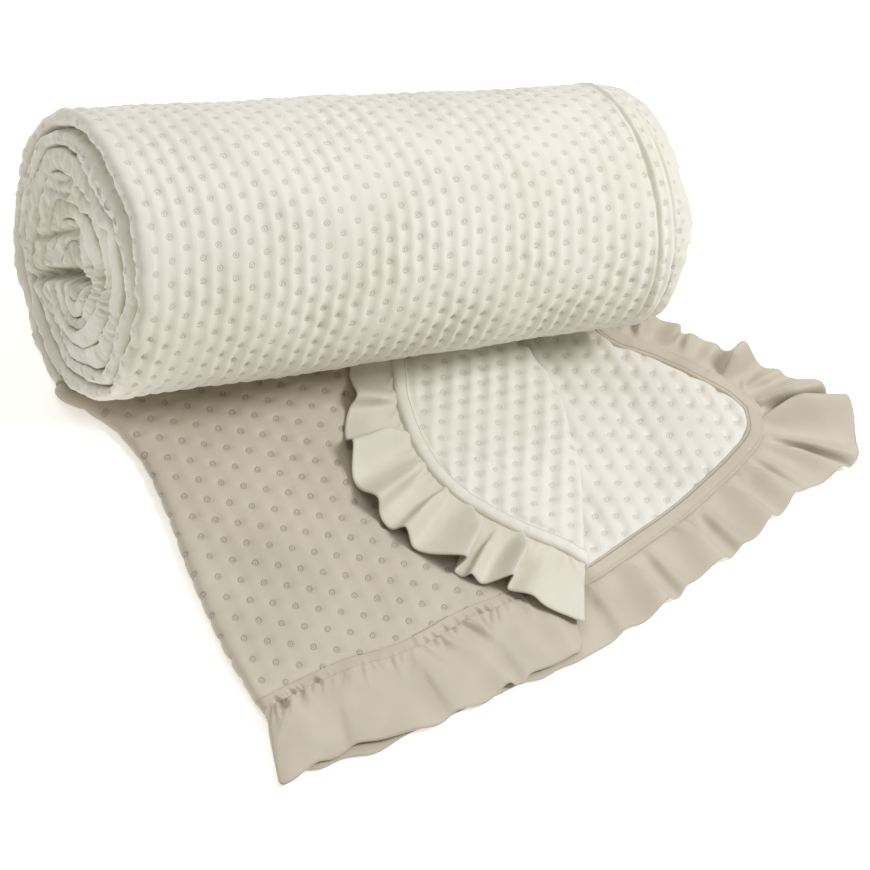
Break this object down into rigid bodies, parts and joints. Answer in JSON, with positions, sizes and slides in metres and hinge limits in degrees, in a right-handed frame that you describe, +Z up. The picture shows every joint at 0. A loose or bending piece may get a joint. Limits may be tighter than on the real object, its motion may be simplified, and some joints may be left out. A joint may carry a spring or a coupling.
{
  "type": "rolled quilted bedspread",
  "caption": "Quilted cotton bedspread with a gathered ruffle, folded lengthwise and rolled up, its loose end laid out flat with one corner turned back.",
  "frame": {"origin": "middle of the bounding box's base, on the surface the roll and the loose end rest on", "axes": "+Z up, X along the roll's axis from its open-fold end at -X, -Y the way the loose end is laid out"},
  "size_m": [0.9976, 0.8208, 0.3455],
  "materials": {
    "roll": "cream cotton sateen, quilted",
    "loose_end": "cream cotton sateen, quilted, greyer on its reverse",
    "binding": "folded cotton band with a stitch line",
    "ruffle": "plain gathered cotton"
  },
  "bodies": {
    "root": {"roll": "roll", "loose_end": "loose_end", "binding": "binding", "ruffle": "ruffle"}
  },
  "joints": []
}
